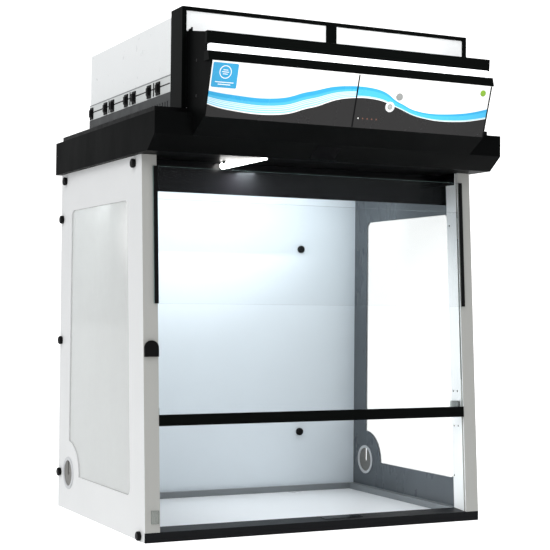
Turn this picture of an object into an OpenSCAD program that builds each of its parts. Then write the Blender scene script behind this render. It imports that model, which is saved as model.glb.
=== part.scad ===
/* [Chamber] */
// Width over the side panels
body_w = 1000; // [760:10:1300]
// Depth from the sill's front face to the rear cover
body_d = 723; // [600:1:860]
// Height from the bench to the underside of the canopy
chamber_h = 981.5; // [800:0.5:1150]
// Lean of the whole front, back from upright
front_lean = 3.3; // [0:0.1:6]
// Height of the sill at its front edge
sill_h = 25; // [20:1:30]
// How far the sill's top climbs towards the worktop
sill_rise = 5; // [0:0.5:8]
// Depth of the sill
sill_d = 58; // [55:1:70]
// Thickness of the white side panels
panel_t = 4.5; // [4:0.1:6]
// Thickness of the grey liners inside the side panels
liner_t = 2; // [1:0.1:3]
// Thickness of the rear panel and of the rear cover
rear_t = 3; // [2:0.1:5]
// Gap between the rear panel and the outer face of the rear cover
rear_gap = 19; // [12:0.5:30]
// Height of the tray's rim over the bench
rim_h = 25; // [15:1:35]
// Width of the tray's side rims
rim_w = 23.5; // [15:0.5:40]
// Width of the tray's rear rim
rear_rim_w = 14; // [8:1:30]
// Thickness of the tray's floor
tray_t = 3; // [2:0.5:6]
// Thickness of the worktop
worktop_t = 4; // [3:0.5:8]

/* [Side windows] */
// Lower edge of the window over the bench
window_z = 105; // [80:1:140]
// Distance from the window's top to the canopy
window_top_gap = 111.5; // [90:0.5:150]
// Distance from the leaning front to the window
window_front = 106; // [85:1:130]
// Distance from the outer face of the rear cover to the window
window_rear = 97; // [80:1:120]
// Radius of the window's corners
window_r = 20; // [5:1:30]
// Thickness of the window panes
window_t = 2.4; // [2:0.1:3]
// How far the panes reach behind the panel all round
window_lap = 10; // [6:1:14]
// Height of the service port's centre
port_z = 107; // [70:1:140]
// Radius of the service port's bore
port_r = 37; // [25:1:40]
// Radius kept clear of the window round the port
port_clear_r = 92; // [75:1:100]
// Width of the cable slot in each port cover
cable_slot_w = 14; // [8:1:20]

/* [Front] */
// Width of each front post
post_w = 41; // [35:1:55]
// Depth of each front post
post_d = 60; // [50:1:75]
// Thickness of the posts' front flange
flange_t = 2.5; // [2:0.1:4]
// Thickness of the two front panes
pane_t = 5; // [4:0.5:6]
// Height of the fixed upper pane
upper_pane_h = 352; // [320:1:400]
// Gap between the upper pane and the canopy
upper_pane_gap = 29.5; // [28:0.5:40]
// How far the upper pane laps over each post
pane_lap = 11; // [8:1:16]
// Height of the sash handle
handle_h = 28.5; // [22:0.5:34]
// Lower edge of the sash handle over the bench, as drawn
handle_z = 290; // [200:1:310]
// Gap between the canopy and the sash's top edge, as drawn
sash_top_gap = 112.6; // [100:0.1:125]
// Play between the sash and what it slides in
sash_play = 1; // [0.5:0.1:2]

/* [Canopy] */
// Height of the canopy
canopy_h = 94.8; // [80:0.1:120]
// How far the canopy's lip reaches in front of the sill
lip_reach = 75.5; // [60:0.5:90]
// How far the lip's lower edge reaches in front of the sill
lip_foot = 26.5; // [15:0.5:40]
// Height of the lip's sloping lower face
lip_chamfer = 37.5; // [25:0.5:45]
// How far the canopy overhangs each side panel
side_over = 15.6; // [13:0.1:25]
// How far the canopy overhangs the rear cover
rear_over = 13.5; // [5:0.5:25]
// Sheet thickness of the canopy and the deck's rim
canopy_t = 3; // [2:0.5:5]
// Height of the deck on the canopy
deck_h = 17; // [10:1:25]
// Lower edge of the header baffle under the canopy
header_drop = 85.5; // [60:0.5:110]
// Distance of the header baffle from the sill's front face
header_y = 150; // [145:1:170]
// Radius of the lamp tube
lamp_r = 9; // [8:0.5:10]
// Distance of the lamp's rear end from the middle, to the left
lamp_x = 238; // [100:1:300]
// How far the lamp turns inwards towards its front end
lamp_turn = 22; // [0:1:24]

/* [Filter stack] */
// Width of the stack and of the surround
stack_w = 856; // [700:2:960]
// Depth of the surround in front of the stack
surround_d = 77; // [50:1:90]
// Distance from the sill's front face to the stack
stack_y = 43; // [38:1:50]
// Distance from the stack to the outer face of the rear cover
stack_rear = 33; // [25:1:60]
// Height of the dark filter tray
tray_h = 51; // [35:1:60]
// Height of each filter cassette
cassette_h = 42; // [30:1:60]
// Height of the white fan shells
fan_shell_h = 147; // [120:1:180]
// Height of the surround over the fan shells
surround_over = 15.5; // [8:0.5:30]
// Width of the surround's side bars
surround_bar = 12; // [8:1:20]
// Width of the surround's middle bar
mullion_w = 31; // [20:1:45]
// Radius of each fan impeller
fan_r = 105; // [80:1:120]
// Radius of the motor shafts
shaft_r = 6; // [4:0.5:8]

/* [Control head] */
// Width over the head's cheeks
head_w = 824; // [700:2:900]
// How far the fascia's top edge reaches in front of the sill
head_reach = 183.2; // [160:0.1:200]
// Height of the fascia along its own face
fascia_h = 138.8; // [120:0.1:150]
// Forward lean of the fascia
fascia_tilt = 17.4; // [10:0.1:22]
// Thickness of the fascia plates
fascia_t = 4; // [3:0.5:6]
// Height of the fascia's top edge over the canopy's top
fascia_over = 116; // [110:0.5:130]
// Width of the black line between the two fascia plates
fascia_gap = 2.5; // [1:0.5:5]
// Height of the lower rail
lower_rail_h = 24.2; // [18:0.1:30]
// Height of the light bar
light_bar_h = 20.2; // [12:0.1:26]
// Height of the upper rail
upper_rail_h = 31; // [22:0.5:40]
// Radius of the power button's bezel
bezel_r = 13.5; // [11:0.5:16]
// Radius of the power button
power_r = 7; // [5:0.5:8]
// Radius of the mode button
mode_r = 9.5; // [7:0.5:11]
// Travel of both buttons
button_travel = 1.5; // [1:0.1:2]

/* [Hidden] */
$fn = 48;

half_w = body_w / 2;
fit = 0.3;                    // general gap between separate sheets
seat_gap = 0.05;              // gap between a post and the side panel it is screwed to
join = 0.01;                  // overlap that joins the solids of one piece
front_y = (head_reach - body_d - rear_over) / 2;   // sill's front face
inner_w = half_w - panel_t - liner_t;              // half width between the liners
back_y = body_d - rear_gap;                        // inner face of the rear panel
post_in = half_w - post_w;                         // inner face of each post
front_skin = (flange_t + seat_gap) / cos(front_lean);   // where the side panels start
canopy_top = chamber_h + canopy_h;
deck_top = canopy_top + deck_h;
setback = (chamber_h - sill_h) * tan(front_lean);
slope_top = (chamber_h - sill_h) / cos(front_lean);

// Distance behind the sill's front face of the leaning front at height z
function lean_y(z) = (z - sill_h) * tan(front_lean);
// Length up the slope that reaches height z
function up(z) = (z - sill_h) / cos(front_lean);
function unit(v) = v / norm(v);
function turn(a) = a > 180 ? a - 360 : a < -180 ? a + 360 : a;

// Arc of radius r that rounds the corner b between a and c
function corner(a, b, c, r) = r <= 0 ? [b] :
    let (u = unit(a - b), w = unit(c - b), half = acos(u * w) / 2,
        m = b + unit(u + w) * r / sin(half), s = b + u * r / tan(half) - m,
        e = b + w * r / tan(half) - m, from = atan2(s.y, s.x),
        sweep = turn(atan2(e.y, e.x) - from))
    [for (i = [0:6]) m + r * [cos(from + sweep * i / 6), sin(from + sweep * i / 6)]];

function rounded(pts, r) = let (n = len(pts))
    [for (i = [0:n - 1]) each corner(pts[(i + n - 1) % n], pts[i], pts[(i + 1) % n],
        is_list(r) ? r[i] : r)];

// A block given by its low and high corners, with y from the sill's front face
module block(low, high) translate([low.x, front_y + low.y, low.z]) cube(high - low);

// Frame whose z runs up the leaning front and whose y runs into the chamber
module on_slope() translate([0, front_y, sill_h]) rotate([-front_lean, 0, 0]) children();

module slope_block(low, high) on_slope() translate(low) cube(high - low);

// Turns an outline of (y, z) points into a plate from x0 to x1
module plate_x(x0, x1) translate([x0, front_y, 0])
    rotate([90, 0, 90]) linear_extrude(x1 - x0) children();

module both_sides() {
    children();
    mirror([1, 0, 0]) children();
}

module at_side(side) mirror([side < 0 ? 1 : 0, 0, 0]) children();

/* Chamber */

module sill() color([0.04, 0.04, 0.045]) {
    block([-half_w, 0, 0], [half_w, flange_t, sill_h]);
    block([-half_w + panel_t, flange_t - join, 0], [half_w - panel_t, sill_d, sill_h]);
    plate_x(-post_in + fit, post_in - fit)
        polygon([[0.5, sill_h - join], [sill_d, sill_h - join], [sill_d, sill_h + sill_rise],
            [2, sill_h + 0.5]]);
}

module base_tray() color([0.33, 0.35, 0.37]) {
    block([-inner_w, sill_d, 0], [inner_w, back_y, tray_t]);
    both_sides() block([inner_w - rim_w, sill_d, 0], [inner_w, back_y, rim_h]);
    block([-inner_w, back_y - rear_rim_w, 0], [inner_w, back_y, rim_h]);
}

worktop_top = tray_t + worktop_t;

module worktop() color([0.93, 0.94, 0.95])
    block([-inner_w + rim_w + fit, sill_d + fit, tray_t],
        [inner_w - rim_w - fit, back_y - rear_rim_w - fit, worktop_top]);

port_y = body_d - window_rear;
port_flange = port_r + 9;
port_wall = port_r + 3;
window_top = chamber_h - window_top_gap;

// Outline of the side window, grown by m all round
module window_shape(m) difference() {
    polygon(rounded([[lean_y(window_z - m) + window_front - m, window_z - m],
        [port_y + m, window_z - m], [port_y + m, window_top + m],
        [lean_y(window_top + m) + window_front - m, window_top + m]], window_r));
    translate([port_y, port_z]) circle(port_clear_r - m);
}

knob_r = 12;
knob_h = 10;
knob_shank_r = 3;
KNOB_POINTS = [[port_y + 54, chamber_h - 21.5], [body_d - 17, chamber_h - 133.5],
    [body_d - 17, chamber_h / 2], [body_d - 20, 103], [105, chamber_h - 20], [35, 14]];

module side_panel(side) color([0.93, 0.93, 0.93]) at_side(side) difference() {
    plate_x(half_w - panel_t, half_w) polygon([[front_skin, 0], [body_d, 0],
        [body_d, chamber_h], [front_skin + setback, chamber_h], [front_skin, sill_h]]);
    plate_x(half_w - panel_t - 1, half_w + 1) window_shape(0);
    plate_x(half_w - panel_t - 1, half_w - panel_t + window_t) window_shape(window_lap);
    plate_x(half_w - panel_t - 1, half_w + 1)
        translate([port_y, port_z]) circle(port_wall);
    for (p = KNOB_POINTS) plate_x(half_w - panel_t - 1, half_w + 1)
        translate(p) circle(knob_shank_r + 0.2);
}

module side_liner(side) color([0.40, 0.43, 0.46]) at_side(side) difference() {
    plate_x(inner_w, inner_w + liner_t) polygon([[lean_y(0) + post_room, 0], [back_y, 0],
        [back_y, chamber_h], [lean_y(chamber_h) + post_room, chamber_h]]);
    plate_x(inner_w - 1, inner_w + liner_t + 1) window_shape(0);
    plate_x(inner_w - 1, inner_w + liner_t + 1)
        translate([port_y, port_z]) circle(port_wall);
}

post_room = post_d / cos(front_lean) + fit;        // where the liners start

module side_window(side) color([0.75, 0.85, 0.88, 0.35]) at_side(side)
    plate_x(half_w - panel_t, half_w - panel_t + window_t) window_shape(window_lap - fit);

module port_rings() color([0.85, 0.86, 0.87]) both_sides()
    translate([inner_w - 2.5, front_y + port_y, port_z]) rotate([0, 90, 0]) rotate_extrude()
        polygon([[port_r, 0], [port_flange - 1, 0], [port_flange - 1, 2.5], [port_wall, 2.5],
            [port_wall, panel_t + liner_t + 2.5], [port_flange, panel_t + liner_t + 2.5],
            [port_flange, panel_t + liner_t + 5], [port_r, panel_t + liner_t + 5]]);

module port_cover(side) color([0.88, 0.89, 0.90]) at_side(side)
    translate([inner_w, front_y + port_y, port_z]) rotate([0, 90, 0]) difference() {
        cylinder(h = panel_t + liner_t, r = port_r - fit);
        translate([-port_r - 1, -cable_slot_w / 2, -1])
            cube([port_r + 1, cable_slot_w, panel_t + liner_t + 2]);
        translate([0, 0, -1]) cylinder(h = panel_t + liner_t + 2, r = cable_slot_w / 2);
    }

REAR_KNOBS = [for (x = [208 - half_w, half_w - 208], z = [196, chamber_h - 200.5]) [x, z]];

module rear_panel() color([0.90, 0.93, 0.95]) difference() {
    block([-half_w + panel_t, back_y, 0], [half_w - panel_t, back_y + rear_t, chamber_h]);
    for (p = REAR_KNOBS) translate([p.x, front_y + back_y - 1, p.y])
        rotate([-90, 0, 0]) cylinder(h = rear_t + 2, r = knob_shank_r + 0.2);
}

module rear_cover() color([0.92, 0.92, 0.92])
    block([-half_w + panel_t, body_d - rear_t, 0], [half_w - panel_t, body_d, chamber_h]);

module rear_posts() color([0.70, 0.71, 0.72]) both_sides()
    block([half_w - panel_t - 40, back_y + rear_t, 0],
        [half_w - panel_t, body_d - rear_t, chamber_h]);

// Thumb knob whose seat is at z = 0 and whose shank runs down from it
module knob(shank) {
    rotate_extrude() polygon([[0, 0], [knob_r - 1, 0], [knob_r, 1.5],
        [knob_r, knob_h - 2.5], [knob_r - 2.5, knob_h], [0, knob_h]]);
    translate([0, 0, -shank]) cylinder(h = shank + 1, r = knob_shank_r);
}

module panel_knobs() color([0.03, 0.03, 0.03]) {
    both_sides() for (p = KNOB_POINTS)
        translate([half_w, front_y + p.x, p.y]) rotate([0, 90, 0]) knob(panel_t);
    for (p = REAR_KNOBS) translate([p.x, front_y + back_y, p.y])
        rotate([90, 0, 0]) knob(rear_t);
}

/* Front */

groove_y = flange_t + 0.7;                         // front wall of the sash groove
sash_y = groove_y + sash_play;                     // front face of the sash pane
groove_w = pane_t + 2 * sash_play;
groove_d = 5;
sash_half = post_in + groove_d - 1.5;

// Cuts what is drawn to the height between the sill and the canopy
module trimmed() intersection() {
    children();
    block([-half_w, -50, sill_h], [half_w, 300, chamber_h]);
}

module post(side) color([0.73, 0.73, 0.705]) at_side(side) trimmed() on_slope()
    translate([0, 0, -20]) linear_extrude(slope_top + 40) difference() {
        union() {
            translate([post_in, 0]) square([post_w, flange_t]);
            translate([post_in, 0]) square([post_w - panel_t - seat_gap, post_d]);
        }
        translate([post_in - 1, groove_y]) square([groove_d + 1, groove_w]);
        translate([post_in + 8, groove_y + groove_w + 3])
            square([post_w - panel_t - 11, post_d - groove_y - groove_w - 6]);
    }

upper_pane_top = chamber_h - upper_pane_gap;
upper_pane_z = upper_pane_top - upper_pane_h;
strip_t = 1.5;

module upper_pane() color([0.80, 0.88, 0.90, 0.35])
    slope_block([-post_in - pane_lap, -pane_t, up(upper_pane_z)],
        [post_in + pane_lap, 0, up(upper_pane_top)]);

module pane_strips() color([0.03, 0.03, 0.03]) both_sides()
    slope_block([post_in, -pane_t - strip_t, up(upper_pane_z)],
        [post_in + pane_lap, -pane_t, up(upper_pane_top)]);

handle_s = up(handle_z);
handle_front = 4.5;
handle_wrap = 4;                                   // thickness behind the pane
pane_seat = 6;                                     // depth of glass over the handle's foot
sash_foot = handle_s + pane_seat;
sash_h = slope_top - sash_top_gap - sash_foot;     // length of the sash pane up the slope

module sash_pane() color([0.80, 0.88, 0.90, 0.35])
    slope_block([-sash_half, sash_y, sash_foot],
        [sash_half, sash_y + pane_t, sash_foot + sash_h]);

module sash_handle() color([0.035, 0.035, 0.04]) on_slope() translate([0, 0, handle_s])
    difference() {
        translate([-post_in + sash_play, -handle_front, 0])
            cube([2 * (post_in - sash_play), handle_front + sash_y + pane_t + handle_wrap,
                handle_h]);
        translate([-post_in, sash_y, pane_seat])
            cube([2 * post_in, pane_t, handle_h]);
    }

runner_t = 0.6;
runner_h = 60;

module sash_runners() color([0.9, 0.9, 0.88]) both_sides()
    for (s = [sash_foot + 39, sash_foot + sash_h - 76])
        slope_block([post_in + 0.5, sash_y + pane_t, s],
            [sash_half, sash_y + pane_t + runner_t, s + runner_h]);

stop_t = 7;

// Clear stops behind the sash and the lock clip at the foot of the left post
module clear_stops() color([0.85, 0.9, 0.9, 0.5]) {
    both_sides() slope_block([post_in - stop_t, sash_y + pane_t + handle_wrap + 2, up(314)],
        [post_in, post_d - 2, up(335)]);
    slope_block([-half_w + 17, -3.5, up(47)], [-half_w + 37, 0, up(80)]);
}

// Countersunk screw head, seated at z = 0
module screw_head(r) rotate_extrude()
    polygon([[0, 0], [r, 0], [r, 0.4], [r * 0.7, 1.3], [0, 1.3]]);

POST_SCREWS = [[27.5, 264], [47.5, 264], [27.5, 362], [47.5, 362], [46.5, 835], [54, 124]];
CHEEK_SCREWS = [[-92, 129], [-92, 40]];            // y and height over the canopy's top

module small_screws() color([0.45, 0.46, 0.47]) {
    both_sides() on_slope() for (p = POST_SCREWS)
        translate([post_in, p.x, up(p.y)]) rotate([0, -90, 0]) screw_head(2.5);
    both_sides() for (p = CHEEK_SCREWS)
        translate([head_w / 2, front_y + p.x, canopy_top + p.y])
            rotate([0, 90, 0]) screw_head(4);
}

sensor_w = 38;
sensor_h = 41.5;
sensor_drop = 135;                                 // its foot under the upper pane's lower edge

module airflow_sensor() color([0.03, 0.03, 0.03]) on_slope()
    translate([-half_w + sensor_w / 2 + 2, 0, up(upper_pane_z - sensor_drop)]) rotate([90, 0, 0]) {
        linear_extrude(8) {
            translate([-sensor_w / 2, 0]) square([sensor_w, sensor_h - sensor_w / 2]);
            translate([0, sensor_h - sensor_w / 2]) circle(sensor_w / 2);
        }
    }

/* Canopy */

header_z = chamber_h - header_drop;
bracket_h = 33.5;

module header_baffle() color([0.05, 0.045, 0.05]) {
    block([-inner_w, header_y, header_z], [inner_w, header_y + 3, chamber_h]);
    both_sides() block([post_in - 3, post_d + 9, chamber_h - bracket_h],
        [post_in, header_y + join, chamber_h]);
}

lamp_rise = 5.5;               // climb of the lamp towards its front end
lamp_back = [-lamp_x, header_y - 10 - lamp_r, chamber_h - lamp_r - 1];
lamp_length = (lamp_back.y + 8) / cos(lamp_turn) / cos(lamp_rise);
lamp_clip_w = 8;

// Frame at the lamp's rear end whose z runs along the lamp and whose y points up
module on_lamp() translate([lamp_back.x, front_y + lamp_back.y, lamp_back.z])
    rotate([90 - lamp_rise, 0, lamp_turn]) children();

// What lies over height z above the lamp
module over_lamp(z) block([-half_w, -lip_foot, z], [0, header_y, z + 4 * lamp_r]);

module lamp_tube() color([1, 1, 0.98]) difference() {
    on_lamp() rotate_extrude() difference() {
        union() {
            square([lamp_r, lamp_length]);
            for (z = [0, lamp_length]) translate([0, z]) circle(lamp_r);
        }
        translate([-2 * lamp_r, -2 * lamp_r]) square([2 * lamp_r, lamp_length + 4 * lamp_r]);
    }
    over_lamp(chamber_h - fit);
}

module lamp_clips() color([0.1, 0.1, 0.1]) difference() {
    on_lamp() for (z = [lamp_clip_w, lamp_length / 2]) translate([0, 0, z]) difference() {
        translate([-lamp_r - 2, 2, 0]) cube([2 * lamp_r + 4, 2 * lamp_r, lamp_clip_w]);
        translate([0, 0, -1]) cylinder(h = lamp_clip_w + 2, r = lamp_r);
    }
    over_lamp(chamber_h);
}

canopy_half = half_w + side_over;
canopy_rear = body_d + rear_over;
intake = [stack_w / 2, header_y + 15, back_y - 10];   // half width, front and rear
pad_t = 8;
gland_x = half_w * 0.7;
gland_z = chamber_h + canopy_h / 2;
gland_r = 9;

// Side outline of the canopy, shrunk by m
module canopy_shape(m) polygon([[-lip_foot + m / 2, chamber_h + m],
    [-lip_reach + m, chamber_h + lip_chamfer + m / 2], [-lip_reach + m, canopy_top - m],
    [canopy_rear - m, canopy_top - m], [canopy_rear - m, chamber_h + m]]);

module canopy_shell() color([0.035, 0.035, 0.037]) difference() {
    plate_x(-canopy_half, canopy_half) canopy_shape(0);
    plate_x(-canopy_half + canopy_t, canopy_half - canopy_t) canopy_shape(canopy_t);
    block([-intake[0], intake[1], chamber_h - 1],
        [intake[0], intake[2], chamber_h + canopy_t + 1]);
    block([-duct_half, duct_front, canopy_top - canopy_t - 1],
        [duct_half, duct_rear, canopy_top + 1]);
    translate([gland_x, front_y + canopy_rear - canopy_t - 1, gland_z])
        rotate([-90, 0, 0]) cylinder(h = canopy_t + 2, r = gland_r + 0.1);
}

stack_half = stack_w / 2;
stack_back = body_d - stack_rear;
duct_half = stack_half - 14;
duct_front = stack_y + 17;
duct_rear = stack_back - 15;

module canopy_deck() color([0.04, 0.04, 0.042]) difference() {
    block([-half_w, stack_y - surround_d, canopy_top], [half_w, body_d - 5, deck_top]);
    block([-duct_half, duct_front, canopy_top - 1], [duct_half, duct_rear, deck_top + 1]);
}

chamfer_low = [-lip_foot, chamber_h];
chamfer = [-lip_reach, chamber_h + lip_chamfer] - chamfer_low;
chamfer_out = unit([-chamfer.y, chamfer.x]);       // away from the canopy
window_x = -25;                                    // middle of the sensor's window
window_w = 76;

module hand_sensor() color([0.01, 0.01, 0.012])
    plate_x(window_x - window_w / 2, window_x + window_w / 2)
        polygon([chamfer_low + chamfer * 0.1, chamfer_low + chamfer * 0.9,
            chamfer_low + chamfer * 0.9 + chamfer_out, chamfer_low + chamfer * 0.1 + chamfer_out]);

module prefilter_pad() color([0.85, 0.87, 0.88])
    block([-intake[0] - 10, intake[1] - 5, chamber_h + canopy_t],
        [intake[0] + 10, intake[2] + 5, chamber_h + canopy_t + pad_t]);

/* Filter stack */

stack_wall = 4;
tray_top = deck_top + tray_h;
cassette_top = tray_top + cassette_h;
slot_pitch = 18;
slot_count = floor((stack_back - stack_y - 30) / slot_pitch);

module filter_tray() color([0.42, 0.43, 0.43]) difference() {
    block([-stack_half, stack_y, deck_top], [stack_half, stack_back, tray_top]);
    block([-duct_half, duct_front, deck_top - 1], [duct_half, duct_rear, tray_top + 1]);
    for (i = [0:slot_count - 1]) both_sides()
        block([stack_half - 3, stack_y + 15 + i * slot_pitch, deck_top + 12],
            [stack_half + 1, stack_y + 21 + i * slot_pitch, deck_top + 30]);
}

cassette_gap = 3;                                  // between the left and right cassettes
seam = 1;

// One filter cassette: a lower and an upper frame round the carbon bed
module cassette(side) color([0.66, 0.67, 0.67]) at_side(side)
    for (z = [[tray_top, tray_top + cassette_h * 0.55 - seam],
        [tray_top + cassette_h * 0.55, cassette_top]]) difference() {
            block([cassette_gap / 2, stack_y, z[0]], [stack_half, stack_back, z[1]]);
            block([cassette_gap / 2 + 12, stack_y + 12, z[0] - 1],
                [stack_half - 12, stack_back - 12, z[1] + 1]);
        }

module carbon_beds() color([0.08, 0.08, 0.08]) both_sides()
    block([cassette_gap / 2 + 12 + fit, stack_y + 12 + fit, tray_top + 1],
        [stack_half - 12 - fit, stack_back - 12 - fit, cassette_top - 3]);

CLIP_PLACES = [0.014, 0.215, 0.309, 0.494, 0.593, 0.78, 0.887];   // from the rear, of the depth

module filter_clips() color([0.03, 0.03, 0.03]) both_sides() for (k = CLIP_PLACES)
    let (y = stack_back - 14 - k * (stack_back - stack_y - 28)) {
        block([stack_half, y - 14, tray_top + 2], [stack_half + 3, y + 14, cassette_top - 5]);
        block([stack_half + 3 - join, y - 10, tray_top + 8],
            [stack_half + 5.5, y + 10, cassette_top - 11]);
    }

fan_x = stack_half / 2 + cassette_gap / 4;
fan_y = (stack_y + stack_back) / 2;
deck_t = 3;
fan_floor = cassette_top + deck_t;
shell_top = cassette_top + deck_t + fan_shell_h;

module fan_deck() color([0.6, 0.61, 0.62]) difference() {
    block([-stack_half, stack_y, cassette_top], [stack_half, stack_back, fan_floor]);
    both_sides() translate([fan_x, front_y + fan_y, cassette_top - 1]) difference() {
        cylinder(h = deck_t + 2, r = fan_r - 10);
        translate([-fan_r, -8, -1]) cube([2 * fan_r, 16, deck_t + 4]);
        translate([0, 0, -1]) cylinder(h = deck_t + 4, r = motor_r + 3);
    }
}

motor_r = 42;
motor_h = 52;
shell_t = 3;
shell_inset = 4;
outlet_r = fan_r + 8;

module fan_shell(side) color([0.94, 0.95, 0.95]) at_side(side) difference() {
    block([cassette_gap / 2, stack_y + shell_inset, fan_floor],
        [stack_half - 1, stack_back - 6, shell_top]);
    block([cassette_gap / 2 + shell_t, stack_y + shell_inset + shell_t, fan_floor - 1],
        [stack_half - 1 - shell_t, stack_back - 6 - shell_t, shell_top - shell_t]);
    translate([fan_x, front_y + fan_y, shell_top - shell_t - 1])
        cylinder(h = shell_t + 2, r = outlet_r);
}

module fan_motors() color([0.25, 0.26, 0.27]) both_sides()
    translate([fan_x, front_y + fan_y, fan_floor]) {
        cylinder(h = motor_h, r = motor_r);
        cylinder(h = motor_h + 50, r = shaft_r);
    }

impeller_z = fan_floor + motor_h + 4;
impeller_h = 50;
blade_t = 2.5;
blades = 9;

module impeller(side) color([0.12, 0.13, 0.14])
    translate([side * fan_x, front_y + fan_y, impeller_z]) difference() {
        union() {
            cylinder(h = 3, r = fan_r);
            cylinder(h = impeller_h * 0.8, r = shaft_r + 8);
            for (i = [0:blades - 1]) rotate([0, 0, i * 360 / blades])
                translate([fan_r * 0.52, 0, 0]) rotate([0, 0, side * 38])
                    translate([0, -blade_t / 2, 0]) cube([fan_r * 0.5, blade_t, impeller_h]);
            translate([0, 0, impeller_h - join]) difference() {
                cylinder(h = 3, r = fan_r);
                translate([0, 0, -1]) cylinder(h = 5, r = fan_r * 0.55);
            }
        }
        translate([0, 0, -1]) cylinder(h = impeller_h + 5, r = shaft_r + 0.06);
    }

grille_h = 3;

module exhaust_grilles() color([0.15, 0.16, 0.17]) both_sides()
    translate([fan_x, front_y + fan_y, shell_top]) {
        for (r = [outlet_r + 8, outlet_r - 12, outlet_r - 32, outlet_r - 52, outlet_r - 72])
            difference() {
                cylinder(h = grille_h, r = r);
                translate([0, 0, -1]) cylinder(h = grille_h + 2, r = r - 6);
            }
        cylinder(h = grille_h, r = 24);
        for (a = [0:45:179]) rotate([0, 0, a])
            translate([-outlet_r - 6, -3, 0]) cube([2 * outlet_r + 12, 6, grille_h]);
    }

surround_top_z = shell_top + surround_over;
surround_beam = 10;
mullion_t = 4;
surround_front = stack_y - surround_d;

module surround_uprights() color([0.045, 0.05, 0.05]) {
    both_sides() block([stack_half - surround_bar, surround_front, deck_top],
        [stack_half, stack_y, surround_top_z - surround_beam]);
    block([-mullion_w / 2, surround_front, deck_top],
        [mullion_w / 2, surround_front + mullion_t, surround_top_z - surround_beam]);
}

// White front panel of the fan housing, set behind the middle bar
module front_panel() color([0.94, 0.95, 0.95])
    block([-stack_half + surround_bar, surround_front + mullion_t, deck_top],
        [stack_half - surround_bar, surround_front + mullion_t + shell_t,
            surround_top_z - surround_beam]);

module surround_top() color([0.045, 0.05, 0.05])
    block([-stack_half, surround_front, surround_top_z - surround_beam],
        [stack_half, stack_y, surround_top_z]);

/* Control head */

fascia_top = [-head_reach, canopy_top + fascia_over];
fascia_up = [-sin(fascia_tilt), cos(fascia_tilt)];
fascia_in = [cos(fascia_tilt), sin(fascia_tilt)];
fascia_foot = fascia_top - fascia_h * fascia_up;
head_half = head_w / 2;
cheek_t = 3.3;
head_t = 3;
rail_y = -head_reach + 33;                         // rear face of the rails
rail_top = fascia_top.y + lower_rail_h + light_bar_h + upper_rail_h;
head_top = rail_top + 22;

// Frame whose z runs up the fascia, whose y runs into the head, at the fascia's foot
module on_fascia() translate([0, front_y + fascia_foot.x, fascia_foot.y])
    rotate([fascia_tilt, 0, 0]) children();

// Side outline of the head behind the fascia, shrunk by m
module head_shape(m) polygon([[-lip_reach - m, chamber_h + lip_chamfer + m * 1.5],
    fascia_foot + fascia_in * (fascia_t + m) + fascia_up * m,
    fascia_top + fascia_in * (fascia_t + m) - [0, m],
    [rail_y + m, fascia_top.y + fascia_in.y * fascia_t - m], [rail_y + m, rail_top - m],
    [surround_front - m, head_top - m], [surround_front - m, canopy_top + m],
    [-lip_reach - m, canopy_top + m]]);

module head_housing() color([0.05, 0.055, 0.055]) {
    difference() {
        plate_x(-head_half, head_half) head_shape(0);
        plate_x(-head_half + cheek_t, head_half - cheek_t) head_shape(head_t);
        on_fascia() translate([-head_half + 14, -1, 12])
            cube([head_w - 28, fascia_t + head_t + 4, fascia_h - 30]);
    }
    plate_x(-head_half, head_half) polygon([[-lip_reach, chamber_h + lip_chamfer],
        fascia_foot, fascia_foot + fascia_in * (fascia_t + join),
        [-lip_reach, chamber_h + lip_chamfer + 2]]);
    both_sides() on_fascia() translate([head_half - cheek_t, 0, 0])
        cube([cheek_t, fascia_t + join, fascia_h]);
}

module head_rails() color([0.035, 0.035, 0.037]) {
    plate_x(-head_half - 6, head_half + 6) polygon([fascia_top,
        [-head_reach + 6, fascia_top.y + lower_rail_h], [rail_y, fascia_top.y + lower_rail_h],
        [rail_y, fascia_top.y + fascia_in.y * fascia_t], fascia_top + fascia_in * fascia_t]);
    plate_x(-head_half - 4, head_half + 4) polygon([
        [-head_reach + 20, rail_top - upper_rail_h], [-head_reach + 17.5, rail_top],
        [rail_y, rail_top], [rail_y, rail_top - upper_rail_h]]);
}

module light_bar() color([0.97, 0.98, 0.98]) plate_x(-head_half + cheek_t, head_half - cheek_t)
    polygon([[-head_reach + 12, rail_top - upper_rail_h - light_bar_h],
        [-head_reach + 17, rail_top - upper_rail_h], [rail_y, rail_top - upper_rail_h],
        [rail_y, rail_top - upper_rail_h - light_bar_h]]);

divider_x = 3;
fascia_half = head_half - cheek_t - fit;
power_at = [105, 61];                              // x and height up the fascia
mode_at = [130, 89];
led_at = [386, 118];
led_r = 8.5;
INDICATORS = [for (i = [0:4]) [17 + i * 13.5, 25]];
indicator_r = 2;

module fascia_plate(x0, x1) on_fascia() translate([x0, 0, 0]) cube([x1 - x0, fascia_t, fascia_h]);

module fascia_left() color([0.9, 0.95, 0.98])
    fascia_plate(-fascia_half, divider_x - fascia_gap / 2);

// Drills or draws a round through the fascia at p, from depth y0 to y1
module fascia_round(p, r, y0, y1) on_fascia() translate([p.x, y0, p.y])
    rotate([-90, 0, 0]) cylinder(h = y1 - y0, r = r);

module fascia_right() color([0.9, 0.95, 0.98]) difference() {
    fascia_plate(divider_x + fascia_gap / 2, fascia_half);
    fascia_round(power_at, bezel_r - 2, -1, fascia_t + 1);
    fascia_round(mode_at, mode_r + fit, -1, fascia_t + 1);
    fascia_round(led_at, led_r, -1, fascia_t + 1);
    for (p = INDICATORS) fascia_round(p, indicator_r, -1, fascia_t + 1);
}

module badge() color([0.12, 0.55, 0.78]) on_fascia()
    translate([-405, -0.8, 73.5]) cube([68, 0.8, 61]);

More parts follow.
